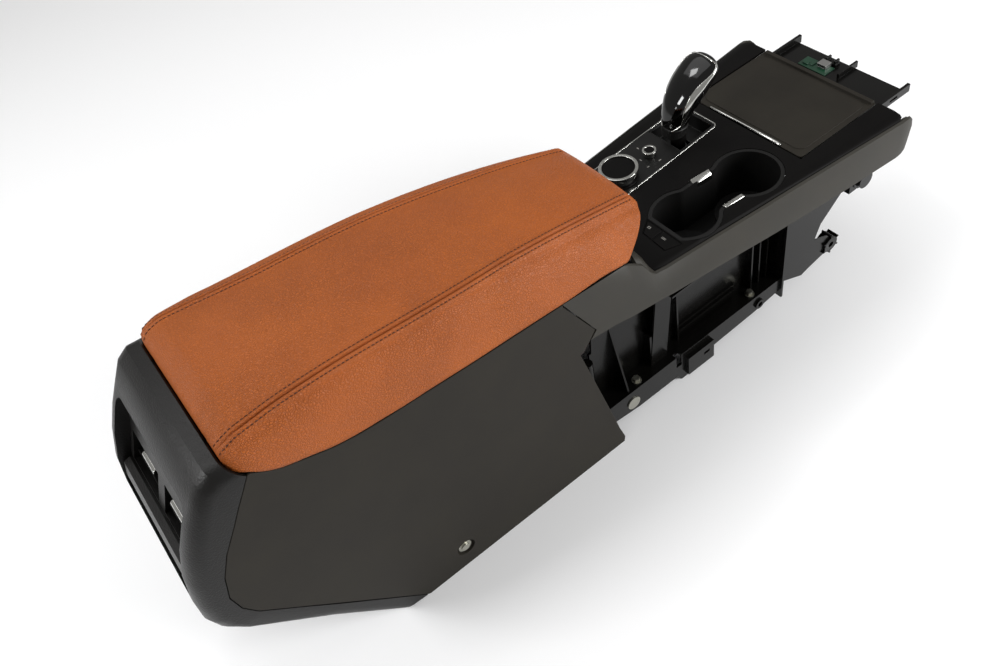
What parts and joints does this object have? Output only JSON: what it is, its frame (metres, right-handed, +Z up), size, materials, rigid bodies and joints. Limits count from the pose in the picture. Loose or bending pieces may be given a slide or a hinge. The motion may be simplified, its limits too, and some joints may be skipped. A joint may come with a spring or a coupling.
{
  "type": "vehicle center console",
  "caption": "Vehicle center console with a padded hinged armrest, rear air outlets, selector lever, rotary knobs, cup pockets and a sliding cover.",
  "frame": {"origin": "middle of the footprint of the console, at the level of the feet", "axes": "+X to the passenger side, +Y forward to the dashboard along the longest extent, +Z up"},
  "size_m": [0.2658, 1.024, 0.4212],
  "materials": {
    "trim": "fine grained black trim",
    "trim_dark": "satin black",
    "moulding": "plain semi-gloss moulding",
    "gloss": "gloss black",
    "bright": "satin chrome",
    "leather": "grained tan leather with double seams",
    "mat": "matt",
    "zinc": "zinc plated",
    "steel": "plain",
    "board": "green lacquer",
    "blue": "blue moulding"
  },
  "bodies": {
    "console": {"side_panel_right": "trim", "side_panel_left": "trim", "panel_bolts": "zinc", "rear_bezel": "trim", "vent_insert": "trim_dark", "air_duct": "moulding", "armrest_box": "moulding", "box_mat": "mat", "hinge_bracket": "steel", "hinge_pin": "steel", "deck_surround": "trim", "inner_frame": "moulding", "frame_bolts": "zinc", "clip_nuts": "zinc", "top_bezel": "trim", "shifter_panel": "gloss", "panel_trim": "bright", "shifter_well": "trim_dark", "shifter_housing": "moulding", "rotary_base": "trim_dark", "cup_liner": "trim_dark", "cup_mats": "mat", "cup_trims": "bright", "switch_frame": "trim_dark", "front_bin": "moulding", "circuit_board": "board", "socket_shell": "steel", "tray_clip": "moulding", "harness_plug": "moulding"},
    "lid": {"lid_carrier": "moulding", "lid_pad": "leather", "latch_pin": "steel"},
    "latch": {"lid_latch": "trim_dark"},
    "outlet_right_upper": {"vane_right_upper": "trim_dark", "vane_tab_right": "bright"},
    "outlet_right_lower": {"vane_right_lower": "trim_dark"},
    "outlet_left_upper": {"vane_left_upper": "trim_dark", "vane_tab_left": "bright"},
    "outlet_left_lower": {"vane_left_lower": "trim_dark"},
    "lever": {"lever_stem": "trim_dark", "lever_grip": "gloss", "lever_band": "bright"},
    "large_knob": {"rotary_knob": "trim_dark", "rotary_ring": "bright", "rotary_cap": "trim_dark"},
    "little_knob": {"small_knob": "trim_dark", "small_ring": "bright"},
    "switch_inner": {"button_inner": "trim_dark"},
    "switch_outer": {"button_outer": "trim_dark"},
    "cover": {"storage_cover": "trim", "cover_handle": "bright"},
    "plug_lock": {"plug_lever": "blue"}
  },
  "joints": [
    {"name": "lid_hinge", "type": "hinge", "parent": "console", "child": "lid", "pos_m": [0, -0.398, 0.397], "axis": [1, 0, 0], "range_deg": [0, 70]},
    {"name": "latch_pivot", "type": "hinge", "parent": "lid", "child": "latch", "pos_m": [0, 0.036, 0.317], "axis": [1, 0, 0], "range_deg": [0, 12], "stiffness_Nm_per_rad": 0.3, "springref_deg": -8.59},
    {"name": "vane_right_upper_tilt", "type": "hinge", "parent": "console", "child": "outlet_right_upper", "pos_m": [0.042, -0.46427, 0.30522], "axis": [1, 0, 0], "range_deg": [-20, 20]},
    {"name": "vane_right_lower_tilt", "type": "hinge", "parent": "console", "child": "outlet_right_lower", "pos_m": [0.042, -0.47216, 0.28904], "axis": [1, 0, 0], "range_deg": [-20, 20]},
    {"name": "vane_left_upper_tilt", "type": "hinge", "parent": "console", "child": "outlet_left_upper", "pos_m": [-0.042, -0.46427, 0.30522], "axis": [1, 0, 0], "range_deg": [-20, 20]},
    {"name": "vane_left_lower_tilt", "type": "hinge", "parent": "console", "child": "outlet_left_lower", "pos_m": [-0.042, -0.47216, 0.28904], "axis": [1, 0, 0], "range_deg": [-20, 20]},
    {"name": "lever_tilt", "type": "hinge", "parent": "console", "child": "lever", "pos_m": [-0.05, 0.248, 0.205], "axis": [1, 0, 0], "range_deg": [-8, 8], "stiffness_Nm_per_rad": 12},
    {"name": "large_knob_turn", "type": "hinge", "parent": "console", "child": "large_knob", "pos_m": [-0.0465, 0.146, 0.262], "axis": [0, 0, 1], "continuous": true},
    {"name": "little_knob_turn", "type": "hinge", "parent": "console", "child": "little_knob", "pos_m": [-0.0486, 0.198, 0.262], "axis": [0, 0, 1], "continuous": true},
    {"name": "switch_inner_press", "type": "slide", "parent": "console", "child": "switch_inner", "axis": [0, 0, -1], "range_m": [0, 0.0015], "stiffness_N_per_m": 600, "springref_m": -0.001},
    {"name": "switch_outer_press", "type": "slide", "parent": "console", "child": "switch_outer", "axis": [0, 0, -1], "range_m": [0, 0.0015], "stiffness_N_per_m": 600, "springref_m": -0.001},
    {"name": "cover_slide", "type": "slide", "parent": "console", "child": "cover", "axis": [0, 1, 0], "range_m": [0, 0.09]},
    {"name": "plug_lock_turn", "type": "hinge", "parent": "console", "child": "plug_lock", "pos_m": [0.099, 0.416, 0.166], "axis": [1, 0, 0], "range_deg": [-50, 0]}
  ],
  "couplings": [
    {"joint": "vane_right_lower_tilt", "follows": "vane_right_upper_tilt", "ratio": 1},
    {"joint": "vane_left_lower_tilt", "follows": "vane_left_upper_tilt", "ratio": 1}
  ]
}
